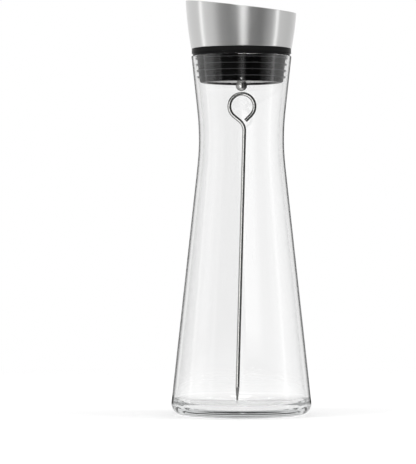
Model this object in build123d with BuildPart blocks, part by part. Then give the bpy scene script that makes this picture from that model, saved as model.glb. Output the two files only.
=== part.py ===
"""Glass carafe with a self-closing steel stopper and a fruit skewer.

Millimetres, +Z up. The origin is the centre of the foot, on the surface that the carafe stands on.
The flap's pivot runs along Y. The collar's pouring edge is high at -X and low at +X, its slant turned a
little towards -Y, the side that is seen.
"""

import os
from math import atan2, cos, hypot, radians, sin, sqrt

from build123d import *

# Glass: two cones that meet at a waist, drawn by the lines of their outer flanks
glass_height = 268.4
foot_radius = 53.4  # where the lower flank's line meets the table
heel_radius = 7.8
waist_height = 206.3  # where the two flanks' lines cross
waist_radius = 30.75
waist_bend = 190.0
rim_radius = 37.5
glass_wall = 2.2  # measured level
glass_floor = 6.0
floor_corner = 7.0
punt_depth = 1.4
foot_ring_width = 6.0

# Silicone sleeve: a shoulder on the glass rim, a flange above it, and lips that reach for the neck's wall
shoulder_height = 1.9  # from the glass rim up to the flange
flange_inset = 0.2  # from the glass rim's outer radius
flange_thickness = 3.5
flange_round = 0.8
stopper_depth = 19.9  # from the glass rim down to the stopper's lower end
lip_count = 4
lip_reach = 1.7
lip_gap = 0.3
lip_root = 1.9
lip_tip = 0.8
lip_round = 0.35
first_lip_depth = 2.0  # from the glass rim down to the top lip
last_lip_rise = 4.0  # from the stopper's lower end up to the bottom lip
sleeve_round = 1.5
sleeve_wall = 2.6  # at the lower end, between the spigot and the roots of the lips

# Steel collar
collar_overhang = 0.1  # beyond the glass rim's outer radius
collar_high = 36.8
collar_low = 26.3
collar_turn = 24.8  # degrees from +X towards -Y, to the edge's lowest point
collar_flare = 4.2  # growth in radius from the foot of the collar to its high edge
collar_bulge = 0.65  # how far the wall bows out from a straight cone
collar_sheet = 1.0
collar_bend = 0.6
collar_edge_break = 0.25
hem_gap = 0.25  # between the inward flange at the foot and the insert's spigot

# Plastic insert: spigot, flange and funnel
spigot_wall = 2.0
insert_gap = 0.25
funnel_throat_rise = 3.5  # from the collar's foot up to the lower edge of the funnel
funnel_rise = 10.0  # from the collar's foot up to the funnel's outer edge
funnel_sag = 1.1
funnel_edge = 1.2
core_floor = 1.8  # plastic left between the funnel and the groove that cores it from below
core_width = 3.6

# Flap, its two pins and its counterweight
flap_gap = 0.3
flap_thickness = 1.6
flap_edge_round = 0.4
pivot_rise = 1.9  # from the stopper's lower end up to the pivot
pin_radius = 1.25
pin_play = 0.05
pin_grip = 6.0  # length of pin inside a boss
pin_proud = 0.25
pin_dome = 0.6
boss_radius = 2.3
boss_length = 7.5
boss_inset = 0.5  # from the flap's edge
ball_radius = 4.3
ball_drop = 3.8  # from the pivot down to the ball's centre
shank_radius = 1.5
nut_flats = 5.5
nut_height = 2.4
dome_radius = 2.4

# Skewer: a bent round wire, standing on the glass floor
wire_radius = 1.45
eye_radius = 9.45  # to the wire's centre line
eye_side = 0.4  # how far the eye's centre stands to +X of the carafe's axis
eye_gap = 0.5  # between the ball and the top of the eye
tail_leave = 43.0  # degrees below level where the free end leaves the eye's circle
tail_length = 5.9
stem_leave = 52.0  # degrees below level where the stem's end leaves it
stem_side = 2.2  # from the eye's centre to the stem
stem_bend = 9.5
skewer_lean = 1.5  # degrees
skewer_point = 14.0
point_flat = 0.25
point_gap = 0.3

# Heights that follow from these
stopper_bottom = glass_height - stopper_depth
flange_foot = glass_height + shoulder_height
collar_foot = flange_foot + flange_thickness
pivot_height = stopper_bottom + pivot_rise
flap_top = pivot_height + flap_thickness / 2
flap_bottom = pivot_height - flap_thickness / 2
ball_height = pivot_height - ball_drop
eye_height = ball_height - ball_radius - eye_gap - wire_radius - eye_radius

# Radii that follow from these
rim_round = 0.3 * glass_wall
neck_slope = (rim_radius - waist_radius) / (glass_height - waist_height)
flank_slope = (foot_radius - waist_radius) / waist_height
rim_crown = rim_radius - glass_wall / 2
flange_radius = rim_radius - flange_inset


def neck_bore(height):
    """Inner radius of the glass neck, above the waist's bend."""
    return rim_radius - glass_wall - neck_slope * (glass_height - height)


def sleeve_radius(height):
    """Radius of the sleeve between its lips."""
    return neck_bore(height) - lip_gap - lip_reach


spigot_radius = sleeve_radius(stopper_bottom) - sleeve_wall
hem_radius = spigot_radius + hem_gap
throat_radius = spigot_radius - spigot_wall
flap_radius = throat_radius - flap_gap
pin_end = sleeve_radius(pivot_height) + pin_proud

# The collar's wall is an arc through its foot and its high edge
collar_radius = rim_radius + collar_overhang
collar_chord = hypot(collar_flare, collar_high)
collar_arc = (collar_chord**2 / 4 + collar_bulge**2) / (2 * collar_bulge)
collar_arc_side = collar_radius + collar_flare / 2 - collar_high / collar_chord * (collar_arc - collar_bulge)
collar_arc_height = collar_foot + collar_high / 2 + collar_flare / collar_chord * (collar_arc - collar_bulge)
collar_spare = 2 * collar_sheet  # extra height that the slanting cut takes off


def collar_wall(height):
    """Outer radius of the collar at a height."""
    return collar_arc_side + sqrt(collar_arc**2 - (height - collar_arc_height) ** 2)


os.makedirs("parts", exist_ok=True)

# Glass body: one wall profile turned about the axis, with a hollow punt under the foot
inner_heel = foot_radius - glass_wall - flank_slope * glass_floor
with BuildPart() as carafe_glass:
    with BuildSketch(Plane.XZ) as wall:
        with BuildLine():
            outside = FilletPolyline(
                (0, 0),
                (foot_radius, 0),
                (waist_radius, waist_height),
                (rim_radius, glass_height),
                radius=[heel_radius, waist_bend],
            )
            inside = FilletPolyline(
                (rim_radius - glass_wall, glass_height),
                (waist_radius - glass_wall, waist_height),
                (inner_heel, glass_floor),
                (0, glass_floor),
                radius=[waist_bend + glass_wall, floor_corner],
            )
            Line(outside @ 1, inside @ 0)
            Line(inside @ 1, outside @ 0)
        make_face()
        fillet(wall.vertices().group_by(Axis.Y)[-1], rim_round)
    revolve(axis=Axis.Z)
    punt_radius = foot_radius - heel_radius - foot_ring_width
    punt_sphere = (punt_radius**2 + punt_depth**2) / (2 * punt_depth)
    with Locations((0, 0, punt_depth - punt_sphere)):
        Sphere(punt_sphere, mode=Mode.SUBTRACT)
carafe_glass.part.label = "carafe_glass"
export_step(carafe_glass.part, "parts/carafe_glass.step")

# Silicone sleeve: a tapering body with lips, a shoulder and flange on top, and a hole for each pivot pin
first_lip = glass_height - first_lip_depth
last_lip = stopper_bottom + last_lip_rise
lip_pitch = (first_lip - last_lip) / (lip_count - 1)
with BuildPart() as seal_sleeve:
    with BuildSketch(Plane.XZ) as section:
        tips = []
        with BuildLine():
            edge = [(spigot_radius, stopper_bottom), (sleeve_radius(stopper_bottom), stopper_bottom)]
            for lip in range(lip_count):
                middle = last_lip + lip * lip_pitch
                tip = neck_bore(middle - lip_tip / 2) - lip_gap
                tips += [Vector(tip, middle - lip_tip / 2), Vector(tip, middle + lip_tip / 2)]
                edge.append((sleeve_radius(middle - lip_root / 2), middle - lip_root / 2))
                edge += tips[-2:]
                edge.append((sleeve_radius(middle + lip_root / 2), middle + lip_root / 2))
            edge += [
                (sleeve_radius(glass_height), glass_height),
                (rim_crown, glass_height),
                (rim_crown, flange_foot),
                (flange_radius, flange_foot),
                (flange_radius, collar_foot),
                (spigot_radius, collar_foot),
            ]
            Polyline(edge, close=True)
        make_face()
        low_corner = section.vertices().group_by(Axis.Y)[0].sort_by(Axis.X)[-1]
        flange_corners = section.vertices().group_by(Axis.X)[-1]
        fillet(low_corner, sleeve_round)
        fillet(flange_corners, flange_round)
        fillet([section.vertices().sort_by_distance(tip)[0] for tip in tips], lip_round)
    revolve(axis=Axis.Z)
    with BuildSketch(Plane.XZ):
        with Locations((0, pivot_height)):
            Circle(pin_radius)
    extrude(amount=flange_radius, both=True, mode=Mode.SUBTRACT)
seal_sleeve.part.label = "seal_sleeve"
export_step(seal_sleeve.part, "parts/seal_sleeve.step")

# Steel collar: a bowed conical wall with an inward flange at its foot, cut off on a slant
collar_top = collar_foot + collar_high + collar_spare
high_reach = collar_radius + collar_flare
low_reach = collar_wall(collar_foot + collar_low)
slant = atan2(collar_high - collar_low, high_reach + low_reach)
downhill = Vector(cos(radians(collar_turn)), -sin(radians(collar_turn)))
high_point = downhill * -high_reach + Vector(0, 0, collar_foot + collar_high)
slant_plane = Plane(origin=high_point, z_dir=downhill * sin(slant) + Vector(0, 0, cos(slant)))
with BuildPart() as steel_collar:
    with BuildSketch(Plane.XZ) as sheet:
        with BuildLine():
            middle_height = (collar_foot + collar_top) / 2
            low_inside = collar_foot + collar_sheet
            middle_inside = (low_inside + collar_top) / 2
            ThreePointArc(
                (collar_radius, collar_foot),
                (collar_wall(middle_height), middle_height),
                (collar_wall(collar_top), collar_top),
            )
            ThreePointArc(
                (collar_wall(low_inside) - collar_sheet, low_inside),
                (collar_wall(middle_inside) - collar_sheet, middle_inside),
                (collar_wall(collar_top) - collar_sheet, collar_top),
            )
            Line((collar_wall(collar_top), collar_top), (collar_wall(collar_top) - collar_sheet, collar_top))
            Polyline(
                (collar_radius, collar_foot),
                (hem_radius, collar_foot),
                (hem_radius, low_inside),
                (collar_wall(low_inside) - collar_sheet, low_inside),
            )
        make_face()
        fillet(sheet.vertices().group_by(Axis.Y)[0].sort_by(Axis.X)[-1], collar_bend)
    revolve(axis=Axis.Z)
    split(bisect_by=slant_plane, keep=Keep.BOTTOM)
    chamfer(steel_collar.faces().sort_by(Axis.Z)[-1].edges(), collar_edge_break)
steel_collar.part.label = "steel_collar"
export_step(steel_collar.part, "parts/steel_collar.step")

# Plastic insert: funnel and flange on the collar's hem, spigot down to the flap, bores for the pins
seat = collar_foot + collar_sheet
funnel_top = collar_foot + funnel_rise
funnel_throat = collar_foot + funnel_throat_rise
skirt_top = collar_wall(funnel_top) - collar_sheet - insert_gap
skirt_foot = collar_wall(seat) - collar_sheet - insert_gap
core_middle = (hem_radius + skirt_foot) / 2
with BuildPart() as pour_insert:
    with BuildSketch(Plane.XZ) as body:
        with BuildLine():
            Polyline(
                (throat_radius, funnel_throat),
                (throat_radius, stopper_bottom),
                (spigot_radius, stopper_bottom),
                (spigot_radius, seat),
                (skirt_foot, seat),
                (skirt_top, funnel_top),
                (skirt_top - funnel_edge, funnel_top),
            )
            SagittaArc((skirt_top - funnel_edge, funnel_top), (throat_radius, funnel_throat), -funnel_sag)
        make_face()
    revolve(axis=Axis.Z)
    with BuildSketch(Plane.XZ):
        with BuildLine():
            core_inner = core_middle - core_width / 2
            core_outer = core_middle + core_width / 2
            Polyline(
                (core_inner, seat),
                (core_outer, seat),
                (core_outer, funnel_throat + core_floor),
                (core_inner, seat + core_floor),
                close=True,
            )
        make_face()
    revolve(axis=Axis.Z, mode=Mode.SUBTRACT)
    with BuildSketch(Plane.XZ):
        with Locations((0, pivot_height)):
            Circle(pin_radius)
    extrude(amount=flange_radius, both=True, mode=Mode.SUBTRACT)
pour_insert.part.label = "pour_insert"
export_step(pour_insert.part, "parts/pour_insert.step")

# Flap: a disc across the throat, with a bored boss at each end of the pivot
boss_outer = flap_radius - boss_inset
boss_middle = boss_outer - boss_length / 2
bore_middle = flap_radius - (boss_inset + pin_grip) / 2
with BuildPart() as flap_disc:
    with Locations((0, 0, pivot_height)):
        Cylinder(flap_radius, flap_thickness)
    fillet(flap_disc.edges(), flap_edge_round)
    with Locations((0, boss_middle, pivot_height), (0, -boss_middle, pivot_height)):
        Cylinder(boss_radius, boss_length, rotation=(90, 0, 0))
    with Locations((0, bore_middle, pivot_height), (0, -bore_middle, pivot_height)):
        Cylinder(pin_radius + pin_play, boss_inset + pin_grip, rotation=(90, 0, 0), mode=Mode.SUBTRACT)
    with Locations((0, 0, pivot_height)):
        Cylinder(shank_radius, flap_thickness, mode=Mode.SUBTRACT)
flap_disc.part.label = "flap_disc"
export_step(flap_disc.part, "parts/flap_disc.step")

# Pivot pins: pressed through the sleeve and the spigot into the flap's bosses
pin_start = boss_outer - pin_grip + pin_play
for pin_name, pin_side in (("pivot_pin_front", -1), ("pivot_pin_rear", 1)):
    with BuildPart() as pivot_pin:
        with BuildSketch(Plane.XZ.offset(-pin_side * pin_start)):
            with Locations((0, pivot_height)):
                Circle(pin_radius)
        extrude(amount=-pin_side * (pin_end - pin_start))
        fillet(pivot_pin.edges().sort_by(Axis.Y)[-1 if pin_side > 0 else 0], pin_dome)
    pivot_pin.part.label = pin_name
    export_step(pivot_pin.part, f"parts/{pin_name}.step")

# Ball: a weight with a flat seat under the flap and a shank up through it
with BuildPart() as ball_weight:
    with Locations((0, 0, ball_height)):
        Sphere(ball_radius)
    split(bisect_by=Plane.XY.offset(flap_bottom), keep=Keep.BOTTOM)
    with BuildSketch(Plane.XY.offset(flap_bottom)):
        Circle(shank_radius)
    extrude(amount=flap_thickness + nut_height)
ball_weight.part.label = "ball_weight"
export_step(ball_weight.part, "parts/ball_weight.step")

# Cap nut: a hexagon with a dome, screwed on the ball's shank
with BuildPart() as cap_nut:
    with BuildSketch(Plane.XY.offset(flap_top)):
        RegularPolygon(nut_flats / 2, 6, major_radius=False)
    extrude(amount=nut_height)
    with Locations((0, 0, flap_top + nut_height)):
        Sphere(dome_radius)
    with BuildSketch(Plane.XY.offset(flap_top)):
        Circle(shank_radius)
    extrude(amount=nut_height, mode=Mode.SUBTRACT)
cap_nut.part.label = "cap_nut"
export_step(cap_nut.part, "parts/cap_nut.step")

# Skewer: drawn in its own leaning plane, with the eye's centre as origin
lean_sin = sin(radians(skewer_lean))
lean_cos = cos(radians(skewer_lean))
tail_sin = sin(radians(tail_leave))
tail_cos = cos(radians(tail_leave))
stem_sin = sin(radians(stem_leave))
stem_cos = cos(radians(stem_leave))
skewer_plane = Plane(origin=(eye_side, 0, eye_height), x_dir=(lean_cos, 0, -lean_sin), z_dir=(0, -1, 0))
tail_start = (eye_radius * tail_cos, -eye_radius * tail_sin)
tail_end = (tail_start[0] - tail_length * tail_sin, tail_start[1] - tail_length * tail_cos)
run_start = (-eye_radius * stem_cos, -eye_radius * stem_sin)
run_length = (stem_side - run_start[0] - stem_bend * (1 - stem_cos)) / stem_sin
run_end = (run_start[0] + run_length * stem_sin, run_start[1] - run_length * stem_cos)
stem_length = (eye_height - stem_side * lean_sin - glass_floor - point_gap) / lean_cos
shoulder = (stem_side, skewer_point - stem_length)
with BuildPart() as skewer:
    with BuildLine(skewer_plane) as wire:
        tail = Line(tail_end, tail_start)
        CenterArc((0, 0), eye_radius, -tail_leave, 180 + tail_leave + stem_leave)
        Line(run_start, run_end)
        JernArc(run_end, (stem_sin, -stem_cos), stem_bend, -stem_leave)
        stem = Line((stem_side, run_end[1] - stem_bend * stem_sin), shoulder)
    with BuildSketch(Plane(origin=tail @ 0, z_dir=tail % 0)):
        Circle(wire_radius)
    sweep(path=wire.wires()[0])
    with Locations(Plane(origin=stem @ 1, z_dir=stem % 1)):
        Cone(wire_radius, point_flat, skewer_point, align=(Align.CENTER, Align.CENTER, Align.MIN))
skewer.part.label = "skewer"
export_step(skewer.part, "parts/skewer.step")
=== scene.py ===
"""Studio view of the infuser carafe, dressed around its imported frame. Metres, +Z up."""

import math

import bpy
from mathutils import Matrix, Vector


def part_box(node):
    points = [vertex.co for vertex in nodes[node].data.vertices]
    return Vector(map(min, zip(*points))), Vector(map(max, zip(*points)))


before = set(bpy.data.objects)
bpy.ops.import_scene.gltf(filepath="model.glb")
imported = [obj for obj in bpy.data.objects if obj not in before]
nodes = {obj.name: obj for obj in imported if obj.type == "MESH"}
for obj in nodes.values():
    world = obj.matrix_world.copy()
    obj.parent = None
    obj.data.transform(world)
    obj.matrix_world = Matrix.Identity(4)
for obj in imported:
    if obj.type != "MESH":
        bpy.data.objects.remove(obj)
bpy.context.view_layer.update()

# The photograph's frame: a level camera, with the carafe right of the middle
PHOTO_WIDTH = 416
PHOTO_HEIGHT = 464
AXIS_PIXEL_X = 241.4
FOOT_PIXEL_Y = 414.2
METRES_PER_PIXEL = 0.00075
CAMERA_DISTANCE = 1.86
SENSOR_LONG_SIDE = 36.0  # millimetres

# Places on the pieces where a finish changes, from their own boxes
FIRST_LIP_DEPTH = 0.002  # from the glass rim down to the top lip
LAST_LIP_RISE = 0.004  # from the sleeve's lower end up to the bottom lip
LIP_COUNT = 4
LIP_PAINTED_HIGHLIGHT = (0.0002, 0.00048)  # distances from a lip's middle over which its painted highlight fades
SKEWER_POINT = 0.014  # length of the ground point
FINISH_EDGE = 0.001  # height over which one finish turns into the next
GLASS_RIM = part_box("carafe_glass")[1].z
LOWEST_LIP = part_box("seal_sleeve")[0].z + LAST_LIP_RISE
LIP_PITCH = (GLASS_RIM - FIRST_LIP_DEPTH - LOWEST_LIP) / (LIP_COUNT - 1)
POINT_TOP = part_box("skewer")[0].z + SKEWER_POINT

# Ranges in which the masks of the finishes vary
NOISE_SPAN = (0.3, 0.7)
SMUDGE_SPAN = (0.15, 0.4)
GLASS_SMUDGE_SPAN = (0.2, 0.5)

# Table
TABLE_RADIUS = 0.62
TABLE_SOLID_RADIUS = 0.2  # from here outwards it fades into the white ground
TABLE_GLINT_RADIUS = 0.07  # in a mirror it fades from here outwards
TABLE_CORNERS = 96
TABLE_DROP = 0.0002  # keeps its face apart from the foot's
FOOT_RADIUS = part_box("carafe_glass")[1].x
FOOT_GLOW_FADE = 0.006
# Glow of the table: round the foot, under the foot as a painted pool of light, mirrored in bare pieces and
# in the glass, mirrored in pieces behind the glass, and deep in thick glass
TABLE_SEEN = 0.42
PAINTED_LIGHT_UNDER_FOOT = 0.8
TABLE_IN_GLASS = 0.9
TABLE_IN_STEEL = 0.6
TABLE_DEEP = 1.0

# Studio light
MATT_LIGHT = 0.6  # what matt pieces get from the world
DEEP_GLASS = 0.9  # what light that turns again and again in thick glass meets
GLOSSY_BOUNCES = 12  # with fewer, light that turns in the thick foot ends in black
MAX_BOUNCES = 24
HIGH_LIGHT = 12.0
HIGH_LIGHT_START = (0.5, 0.6)  # upward parts of the direction over which the high light sets in
HIGH_LIGHT_END = (0.85, 0.93)  # and over which it ends
# Light round the studio, as degrees from the front towards +X and level. First the width of the high light,
# then softboxes and dark gaps: for bare pieces, on the glass face, within the glass wall,
# and for pieces behind the glass
HIGH_LIGHT_STOPS = [(-180, 0.0), (-24, 0.0), (-14, 1.0), (14, 1.0), (24, 0.0), (180, 0.0)]
OPEN_AIR_STOPS = [
    (-180, 0.95), (-102, 0.95), (-98, 2.0), (-95, 2.0), (-91, 1.0), (-66, 0.87), (-47, 0.42), (-34, 0.35),
    (-20, 0.27), (-9, 0.12), (0, 1.05), (7, 1.1), (15, 0.2), (29, 0.29), (44, 0.24), (66, 0.53), (77, 0.7),
    (80, 2.1), (83, 2.1), (87, 0.86), (101, 0.87), (121, 0.78), (180, 0.95),
]
GLASS_FACE_STOPS = [
    (-180, 0.05), (-158, 0.05), (-148, 0.95), (-102, 0.95), (-97, 2.2), (-91, 1.4), (-76, 1.35),
    (-67, 0.85), (-60, 0.47), (-56, 0.78), (-53, 0.6), (-46, 0.06), (-11, 0.03), (-1, 0.7), (3, 0.82),
    (11, 0.03), (44, 0.04), (48, 0.3), (57, 0.4), (68, 1.15), (78, 1.6), (81, 2.7), (87, 1.4), (99, 0.95),
    (148, 0.9), (158, 0.05), (180, 0.05),
]
GLASS_WALL_STOPS = [
    (-180, 0.9), (-178, 0.03), (-158, 0.03), (-148, 0.8), (-135, 0.45), (-70, 0.3), (-57, 0.1), (-54, 0.4),
    (-51, 0.01), (-6, 0.0), (-2, 0.2), (5, 0.2), (10, 0.0), (76, 0.01), (79, 0.6), (82, 0.6), (86, 0.3),
    (135, 0.45), (148, 0.8), (158, 0.03), (178, 0.03), (180, 0.9),
]
INSIDE_STOPS = [
    (-180, 0.8), (-166, 0.8), (-158, 0.05), (-150, 0.05), (-132, 0.5), (-60, 0.6), (-48, 0.8), (-32, 1.8),
    (-5, 1.9), (1, 0.008), (130, 0.01), (158, 0.05), (166, 0.8), (180, 0.8),
]
# How much of that pieces behind the glass get, by the upward part of the direction
INSIDE_HEIGHT_STOPS = [(-1.0, 0.2), (-0.85, 0.3), (-0.65, 1.0), (0.2, 1.0), (0.42, 0.06), (1.0, 0.06)]


# Node helpers
def grey(level):
    """A grey colour of one level."""
    return (level, level, level, 1.0)


def link(tree, source, target):
    """Joins an output socket to an input socket."""
    tree.links.new(source, target)


def feed(tree, value, socket):
    """Joins an output to an input socket, or sets the socket to a plain value."""
    if isinstance(value, bpy.types.NodeSocket):
        link(tree, value, socket)
    else:
        socket.default_value = value


def add_node(tree, kind, x, y, **settings):
    """Adds a node at a place in its tree, with settings given by attribute name."""
    node = tree.nodes.new(kind)
    node.location = (x, y)
    for name, value in settings.items():
        setattr(node, name, value)
    return node


def calculate(tree, operation, first, second, x, y, **settings):
    """Works on two values, each an output or a plain number."""
    node = add_node(tree, "ShaderNodeMath", x, y, operation=operation, **settings)
    feed(tree, first, node.inputs[0])
    feed(tree, second, node.inputs[1])
    return node.outputs["Value"]


def spread(tree, value, source, target, x, y):
    """Maps one range of a value onto another, and stays at its ends beyond."""
    node = add_node(tree, "ShaderNodeMapRange", x, y)
    for name, end in zip(("From Min", "From Max", "To Min", "To Max"), (*source, *target)):
        node.inputs[name].default_value = end
    link(tree, value, node.inputs["Value"])
    return node.outputs["Result"]


def blend(tree, factor, first, second, x, y, data_type="RGBA", **settings):
    """Goes from one colour or value to another by a factor, each an output or plain."""
    node = add_node(tree, "ShaderNodeMix", x, y, data_type=data_type, **settings)
    feed(tree, factor, node.inputs["Factor"])
    feed(tree, first, node.inputs["A"])
    feed(tree, second, node.inputs["B"])
    return node.outputs["Result"]


def tint(tree, mask, dark, light, x, y):
    """A colour between a dark and a light one, by a mask."""
    return blend(tree, mask, (*dark, 1.0), (*light, 1.0), x, y)


def blend_shaders(tree, factor, first, second, x, y):
    """Goes from one shader to another by a factor."""
    node = add_node(tree, "ShaderNodeMixShader", x, y)
    link(tree, factor, node.inputs["Fac"])
    link(tree, first, node.inputs[1])
    link(tree, second, node.inputs[2])
    return node.outputs["Shader"]


def level_ramp(tree, value, stops, x, y):
    """Brightness over a span, from stops of place and level that run from one end of it to the other."""
    ramp = add_node(tree, "ShaderNodeValToRGB", x, y)
    elements = ramp.color_ramp.elements
    places, levels = zip(*stops)
    for place in places[1:-1]:
        elements.new((place - places[0]) / (places[-1] - places[0]))
    for element, level in zip(elements, levels):
        element.color = grey(level)
    link(tree, value, ramp.inputs["Fac"])
    return ramp.outputs["Color"]


def reached(tree, path, count, least, x, y):
    """1 for a ray of which something has been counted often enough, otherwise 0."""
    return calculate(tree, "GREATER_THAN", path.outputs[count], least - 0.5, x, y)


def step_levels(tree, path, level, steps, x, y):
    """A level that changes on a ray's way, by steps of what is counted, how often, and the level then."""
    for count, least, after in steps:
        level = blend(tree, reached(tree, path, count, least, x, y + 200), level, after, x + 150, y)
        x += 50
    return level


# Finishes
def new_material(name):
    """A material with an empty node tree, its Principled shader and its output."""
    material = bpy.data.materials.new(name)
    material.use_nodes = True
    tree = material.node_tree
    tree.nodes.clear()
    shader = add_node(tree, "ShaderNodeBsdfPrincipled", 300, 0)
    output = add_node(tree, "ShaderNodeOutputMaterial", 700, 0)
    link(tree, shader.outputs["BSDF"], output.inputs["Surface"])
    return material, tree, shader, output


def smudge_group():
    """Soft blotches with finer specks, as handling leaves on a clean surface."""
    tree = bpy.data.node_groups.new("handling_smudge", "ShaderNodeTree")
    tree.interface.new_socket("Vector", in_out="INPUT", socket_type="NodeSocketVector")
    tree.interface.new_socket("Smudge", in_out="OUTPUT", socket_type="NodeSocketFloat")
    start = add_node(tree, "NodeGroupInput", -700, 0)
    broad = add_node(tree, "ShaderNodeTexNoise", -450, 150)
    broad.inputs["Scale"].default_value = 38.0
    broad.inputs["Detail"].default_value = 5.0
    specks = add_node(tree, "ShaderNodeTexNoise", -450, -150)
    specks.inputs["Scale"].default_value = 420.0
    specks.inputs["Detail"].default_value = 3.0
    for noise in (broad, specks):
        link(tree, start.outputs["Vector"], noise.inputs["Vector"])
    both = calculate(tree, "MULTIPLY", broad.outputs["Fac"], specks.outputs["Fac"], -150, 0)
    end = add_node(tree, "NodeGroupOutput", 150, 0)
    link(tree, both, end.inputs["Smudge"])
    return tree


SMUDGE = smudge_group()


def handled(tree, x, y):
    """A piece's own coordinates, and the handling smudge on them as a mask."""
    place = add_node(tree, "ShaderNodeTexCoord", x - 300, y)
    smudge = add_node(tree, "ShaderNodeGroup", x, y, node_tree=SMUDGE)
    link(tree, place.outputs["Object"], smudge.inputs["Vector"])
    return place.outputs["Object"], smudge.outputs["Smudge"]


def height_on(tree, place, x, y):
    """Height on a piece, from its coordinates."""
    axes = add_node(tree, "ShaderNodeSeparateXYZ", x, y)
    link(tree, place, axes.inputs["Vector"])
    return axes.outputs["Z"]


def glass_material():
    """Clear blown glass, a little grey where it is thick."""
    material, tree, shader, output = new_material("clear_glass")
    shader.inputs["Base Color"].default_value = grey(1.0)
    shader.inputs["Transmission Weight"].default_value = 1.0
    shader.inputs["IOR"].default_value = 1.5
    _, smudge = handled(tree, -600, -100)
    rough = spread(tree, smudge, GLASS_SMUDGE_SPAN, (0.0, 0.003), -300, -100)
    link(tree, rough, shader.inputs["Roughness"])
    absorb = add_node(tree, "ShaderNodeVolumeAbsorption", 300, -500)
    absorb.inputs["Color"].default_value = (0.7, 0.72, 0.72, 1.0)
    absorb.inputs["Density"].default_value = 10.0
    link(tree, absorb.outputs["Volume"], output.inputs["Volume"])
    return material


def brushed_steel_material():
    """Stainless sheet brushed round the collar, in fine level lines that stretch its highlights."""
    material, tree, shader, _ = new_material("brushed_steel")
    shader.inputs["Metallic"].default_value = 1.0
    shader.inputs["Anisotropic"].default_value = 0.85
    shader.inputs["Anisotropic Rotation"].default_value = 0.25
    place = add_node(tree, "ShaderNodeTexCoord", -1300, 0)
    stretch = add_node(tree, "ShaderNodeMapping", -1100, 0)
    stretch.inputs["Scale"].default_value = (0.02, 0.02, 1.0)
    link(tree, place.outputs["Object"], stretch.inputs["Vector"])
    grain = add_node(tree, "ShaderNodeTexNoise", -850, 0)
    grain.inputs["Scale"].default_value = 4000.0
    grain.inputs["Detail"].default_value = 4.0
    grain.inputs["Roughness"].default_value = 0.65
    link(tree, stretch.outputs["Vector"], grain.inputs["Vector"])
    lines = grain.outputs["Fac"]
    colour = tint(tree, lines, (0.56, 0.56, 0.555), (0.6, 0.6, 0.595), -500, 200)
    link(tree, colour, shader.inputs["Base Color"])
    rough = spread(tree, lines, NOISE_SPAN, (0.28, 0.31), -500, -50)
    link(tree, rough, shader.inputs["Roughness"])
    tangent = add_node(tree, "ShaderNodeTangent", -300, -500, direction_type="RADIAL", axis="Z")
    link(tree, tangent.outputs["Tangent"], shader.inputs["Tangent"])
    bump = add_node(tree, "ShaderNodeBump", 0, -300)
    bump.inputs["Strength"].default_value = 0.01
    bump.inputs["Distance"].default_value = 0.0001
    link(tree, lines, bump.inputs["Height"])
    link(tree, bump.outputs["Normal"], shader.inputs["Normal"])
    return material


def silicone_material():
    """Black silicone, with a painted highlight along the edge of each lip, and a little paler above the
    glass rim.
    """
    material, tree, shader, _ = new_material("black_silicone")
    shader.inputs["Specular IOR Level"].default_value = 0.02
    place, smudge = handled(tree, -600, 0)
    height = height_on(tree, place, -1100, -300)
    above = calculate(tree, "SUBTRACT", height, LOWEST_LIP, -900, -300)
    from_lip = calculate(tree, "PINGPONG", above, LIP_PITCH / 2, -750, -300)
    edge = spread(tree, from_lip, LIP_PAINTED_HIGHLIGHT, (1.0, 0.0), -600, -300)
    below_rim = spread(tree, height, (GLASS_RIM - FINISH_EDGE, GLASS_RIM), (1.0, 0.0), -600, -600)
    painted_lip_highlight = calculate(tree, "MULTIPLY", edge, below_rim, -400, -400)
    black = tint(tree, smudge, (0.001, 0.001, 0.001), (0.004, 0.004, 0.0042), -300, 200)
    # Above the glass rim the silicone is coloured a little paler than below it
    paler_above_rim = tint(tree, smudge, (0.011, 0.011, 0.011), (0.02, 0.02, 0.0205), -300, 400)
    sleeve = blend(tree, below_rim, paler_above_rim, black, -200, 300)
    # Painted highlight: a pale grey along each lip's edge below the rim stands in for light catching the
    # lips
    colour = blend(tree, painted_lip_highlight, sleeve, (0.06, 0.06, 0.062, 1.0), -50, 200)
    link(tree, colour, shader.inputs["Base Color"])
    rough = spread(tree, smudge, SMUDGE_SPAN, (0.2, 0.3), -200, -50)
    link(tree, rough, shader.inputs["Roughness"])
    return material


def plastic_material():
    """Black moulded plastic with a satin face."""
    material, tree, shader, _ = new_material("black_plastic")
    shader.inputs["Specular IOR Level"].default_value = 0.2
    _, smudge = handled(tree, -600, 0)
    colour = tint(tree, smudge, (0.012, 0.012, 0.013), (0.024, 0.024, 0.025), -200, 200)
    link(tree, colour, shader.inputs["Base Color"])
    rough = spread(tree, smudge, SMUDGE_SPAN, (0.34, 0.46), -200, -50)
    link(tree, rough, shader.inputs["Roughness"])
    return material


def polished_steel_material(name, dark, light, roughness):
    """Bright stainless steel with fine handling marks, between two colours and in a range of roughness."""
    material, tree, shader, _ = new_material(name)
    shader.inputs["Metallic"].default_value = 1.0
    _, smudge = handled(tree, -600, 0)
    link(tree, tint(tree, smudge, dark, light, -200, 200), shader.inputs["Base Color"])
    rough = spread(tree, smudge, SMUDGE_SPAN, roughness, -200, -50)
    link(tree, rough, shader.inputs["Roughness"])
    return material


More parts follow.
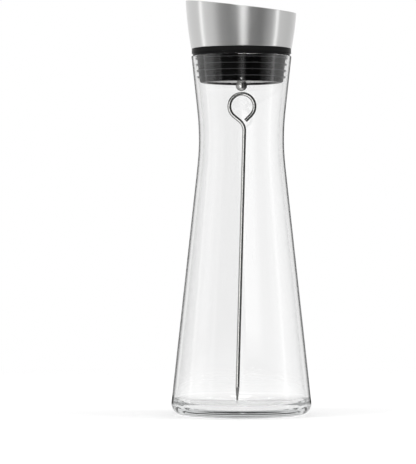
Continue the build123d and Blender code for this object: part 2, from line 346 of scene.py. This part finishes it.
def skewer_material():
    """Bright drawn wire, with a duller ground point."""
    material, tree, shader, _ = new_material("skewer_steel")
    shader.inputs["Metallic"].default_value = 1.0
    place, smudge = handled(tree, -800, 0)
    height = height_on(tree, place, -800, -300)
    ground = spread(tree, height, (POINT_TOP - FINISH_EDGE, POINT_TOP), (1.0, 0.0), -600, -300)
    bright = tint(tree, smudge, (0.56, 0.56, 0.55), (0.68, 0.68, 0.67), -400, 200)
    colour = blend(tree, ground, bright, (0.3, 0.3, 0.295, 1.0), -100, 200)
    link(tree, colour, shader.inputs["Base Color"])
    drawn = spread(tree, smudge, SMUDGE_SPAN, (0.07, 0.12), -400, -50)
    rough = blend(tree, ground, drawn, 0.35, -100, -100, data_type="FLOAT")
    link(tree, rough, shader.inputs["Roughness"])
    return material


def dress(node_name, material):
    """Gives a CAD node one material."""
    mesh = nodes[node_name].data
    mesh.materials.clear()
    mesh.materials.append(material)


polished_steel = polished_steel_material(
    "polished_steel", dark=(0.6, 0.6, 0.59), light=(0.72, 0.72, 0.71), roughness=(0.02, 0.06)
)
flap_steel = polished_steel_material(
    "flap_steel", dark=(0.46, 0.46, 0.455), light=(0.54, 0.54, 0.535), roughness=(0.18, 0.3)
)
dress("carafe_glass", glass_material())
dress("steel_collar", brushed_steel_material())
dress("pour_insert", plastic_material())
dress("seal_sleeve", silicone_material())
dress("flap_disc", flap_steel)
dress("skewer", skewer_material())
for name in ("pivot_pin_front", "pivot_pin_rear", "ball_weight", "cap_nut"):
    dress(name, polished_steel)


# Stage
def backdrop(tree, colour, strength, x, y):
    """A background of a colour and strength, the colour an output or plain."""
    node = add_node(tree, "ShaderNodeBackground", x, y)
    feed(tree, colour, node.inputs["Color"])
    node.inputs["Strength"].default_value = strength
    return node.outputs["Background"]


def studio_world():
    """White round the carafe. What shines sees a studio: dark gaps, softboxes and a light high in front."""
    world = bpy.data.worlds.new("studio")
    bpy.context.scene.world = world
    world.use_nodes = True
    # Each kind of ray meets its own light here, so one map of the light would mislead the sampler
    world.cycles.sampling_method = "NONE"
    tree = world.node_tree
    tree.nodes.clear()
    place = add_node(tree, "ShaderNodeTexCoord", -1300, 0)
    axes = add_node(tree, "ShaderNodeSeparateXYZ", -1100, 0)
    link(tree, place.outputs["Generated"], axes.inputs["Vector"])
    upward = axes.outputs["Z"]
    path = add_node(tree, "ShaderNodeLightPath", -300, 500)
    # Angle round the carafe: 0 towards the camera, a quarter turn to +X
    forward = calculate(tree, "MULTIPLY", axes.outputs["Y"], -1.0, -900, -150)
    angle = calculate(tree, "ARCTAN2", axes.outputs["X"], forward, -700, 0)
    turn = spread(tree, angle, (-math.pi, math.pi), (0.0, 1.0), -500, 0)
    open_air = level_ramp(tree, turn, OPEN_AIR_STOPS, -300, 100)
    face = level_ramp(tree, turn, GLASS_FACE_STOPS, -300, 0)
    wall = level_ramp(tree, turn, GLASS_WALL_STOPS, -300, -100)
    round_inside = level_ramp(tree, turn, INSIDE_STOPS, -300, -300)
    height = spread(tree, upward, (-1.0, 1.0), (0.0, 1.0), -700, -400)
    at_height = level_ramp(tree, height, INSIDE_HEIGHT_STOPS, -300, -400)
    inside = blend(tree, 1.0, round_inside, at_height, 0, -300, blend_type="MULTIPLY")
    # The glass face mirrors sharply, which no brushed or matt piece does.
    # One pass through a glass face belongs to the wall itself, and three passes to a piece behind the wall.
    around = step_levels(tree, path, open_air, [
        ("Is Singular Ray", 1, face),
        ("Transmission Depth", 1, wall),
        ("Transmission Depth", 3, inside),
    ], 100, 0)
    # The high light: a band of heights, in front of the carafe
    above_start = spread(tree, upward, HIGH_LIGHT_START, (0.0, 1.0), -300, -500)
    below_end = spread(tree, upward, HIGH_LIGHT_END, (1.0, 0.0), -300, -800)
    front = level_ramp(tree, turn, HIGH_LIGHT_STOPS, -300, -1100)
    band = calculate(tree, "MULTIPLY", above_start, below_end, 0, -500)
    patch = calculate(tree, "MULTIPLY", band, front, 200, -500)
    lit = blend(tree, patch, around, grey(HIGH_LIGHT), 250, 0)
    # Light that has turned three times in thick glass meets an even grey
    met = step_levels(tree, path, lit, [("Glossy Depth", 3, grey(DEEP_GLASS))], 300, 0)
    shown = backdrop(tree, grey(1.0), 1.0, 450, 300)
    soft = backdrop(tree, grey(1.0), MATT_LIGHT, 450, 150)
    studio = backdrop(tree, met, 1.0, 450, 0)
    plain = blend_shaders(tree, path.outputs["Is Diffuse Ray"], shown, soft, 650, 200)
    shines = reached(tree, path, "Glossy Depth", 1, 0, 300)
    both = blend_shaders(tree, shines, plain, studio, 850, 100)
    output = add_node(tree, "ShaderNodeOutputWorld", 1050, 100)
    link(tree, both, output.inputs["Surface"])


def table_material():
    """White table that keeps the shadow and fades into the white ground."""
    material, tree, shader, output = new_material("white_table")
    shader.inputs["Base Color"].default_value = grey(0.5)
    shader.inputs["Roughness"].default_value = 0.9
    shader.inputs["Specular IOR Level"].default_value = 0.0
    place = add_node(tree, "ShaderNodeTexCoord", -900, -400)
    length = add_node(tree, "ShaderNodeVectorMath", -700, -400, operation="LENGTH")
    link(tree, place.outputs["Object"], length.inputs[0])
    reach = length.outputs["Value"]
    path = add_node(tree, "ShaderNodeLightPath", -600, 500)
    # A painted pool of light: the table glows brighter beneath the clear foot, for the light the foot hands
    # on to it
    foot_edge = (FOOT_RADIUS - FOOT_GLOW_FADE, FOOT_RADIUS)
    glows = spread(tree, reach, foot_edge, (PAINTED_LIGHT_UNDER_FOOT, TABLE_SEEN), -500, 700)
    seen = calculate(tree, "SUBTRACT", glows, path.outputs["Is Diffuse Ray"], -300, 500, use_clamp=True)
    glow = add_node(tree, "ShaderNodeEmission", 0, 400)
    glow.inputs["Color"].default_value = grey(1.0)
    link(tree, seen, glow.inputs["Strength"])
    lit = add_node(tree, "ShaderNodeAddShader", 500, 200)
    link(tree, glow.outputs["Emission"], lit.inputs[0])
    link(tree, shader.outputs["BSDF"], lit.inputs[1])
    # In a mirror the table is an even grey
    mirrored = add_node(tree, "ShaderNodeEmission", 0, 700)
    level = step_levels(tree, path, grey(TABLE_IN_GLASS), [
        ("Transmission Depth", 3, grey(TABLE_IN_STEEL)),
        ("Glossy Depth", 2, grey(TABLE_DEEP)),
    ], -450, 800)
    link(tree, level, mirrored.inputs["Color"])
    glint = reached(tree, path, "Glossy Depth", 1, -300, -700)
    both = blend_shaders(tree, glint, lit.outputs["Shader"], mirrored.outputs["Emission"], 550, 300)
    fade = spread(tree, reach, (TABLE_SOLID_RADIUS, TABLE_RADIUS), (1.0, 0.0), -500, -400)
    near = spread(tree, reach, (TABLE_GLINT_RADIUS, TABLE_SOLID_RADIUS), (1.0, 0.0), -500, -700)
    cover = blend(tree, glint, fade, near, 0, -500, data_type="FLOAT")
    clear = add_node(tree, "ShaderNodeBsdfTransparent", 300, -400)
    shown = blend_shaders(tree, cover, clear.outputs["BSDF"], both, 600, 0)
    link(tree, shown, output.inputs["Surface"])
    return material


def add_table():
    """The round white table top."""
    bpy.ops.object.select_all(action="DESELECT")
    bpy.ops.mesh.primitive_circle_add(
        vertices=TABLE_CORNERS, radius=TABLE_RADIUS, fill_type="NGON", location=(0, 0, -TABLE_DROP)
    )
    floor = bpy.context.object
    floor.name = "table_top"
    floor.data.materials.append(table_material())


def add_softbox(name, place, aim, width, height, power):
    """An area lamp turned towards a point, for matt pieces only."""
    light = bpy.data.lights.new(name, "AREA")
    light.shape = "RECTANGLE"
    light.size = width
    light.size_y = height
    light.energy = power
    lamp = bpy.data.objects.new(name, light)
    bpy.context.scene.collection.objects.link(lamp)
    lamp.location = place
    lamp.rotation_euler = (Vector(aim) - Vector(place)).to_track_quat("-Z", "Y").to_euler()
    lamp.visible_glossy = False
    lamp.visible_transmission = False


def add_camera():
    """Level camera in front of the carafe, framed as the photograph is."""
    data = bpy.data.cameras.new("camera")
    data.sensor_width = SENSOR_LONG_SIDE
    data.lens = SENSOR_LONG_SIDE * CAMERA_DISTANCE / (PHOTO_HEIGHT * METRES_PER_PIXEL)
    eye = bpy.data.objects.new("camera", data)
    bpy.context.scene.collection.objects.link(eye)
    side = (PHOTO_WIDTH / 2 - AXIS_PIXEL_X) * METRES_PER_PIXEL
    height = (FOOT_PIXEL_Y - PHOTO_HEIGHT / 2) * METRES_PER_PIXEL
    eye.location = (side, -CAMERA_DISTANCE, height)
    eye.rotation_euler = (math.pi / 2, 0, 0)
    bpy.context.scene.camera = eye


studio_world()
add_table()
add_softbox("left_softbox", place=(-1.1, -0.5, 1.1), aim=(0, 0, 0.15), width=0.6, height=1.0, power=9)
add_softbox("right_softbox", place=(1.1, -0.1, 1.0), aim=(0, 0, 0.15), width=0.6, height=1.0, power=8)
add_softbox("top_softbox", place=(0, 0.1, 1.6), aim=(0, 0, 0), width=1.0, height=1.0, power=10)
add_camera()
bpy.context.scene.view_settings.view_transform = "Standard"
bpy.context.scene.cycles.glossy_bounces = GLOSSY_BOUNCES
bpy.context.scene.cycles.max_bounces = MAX_BOUNCES
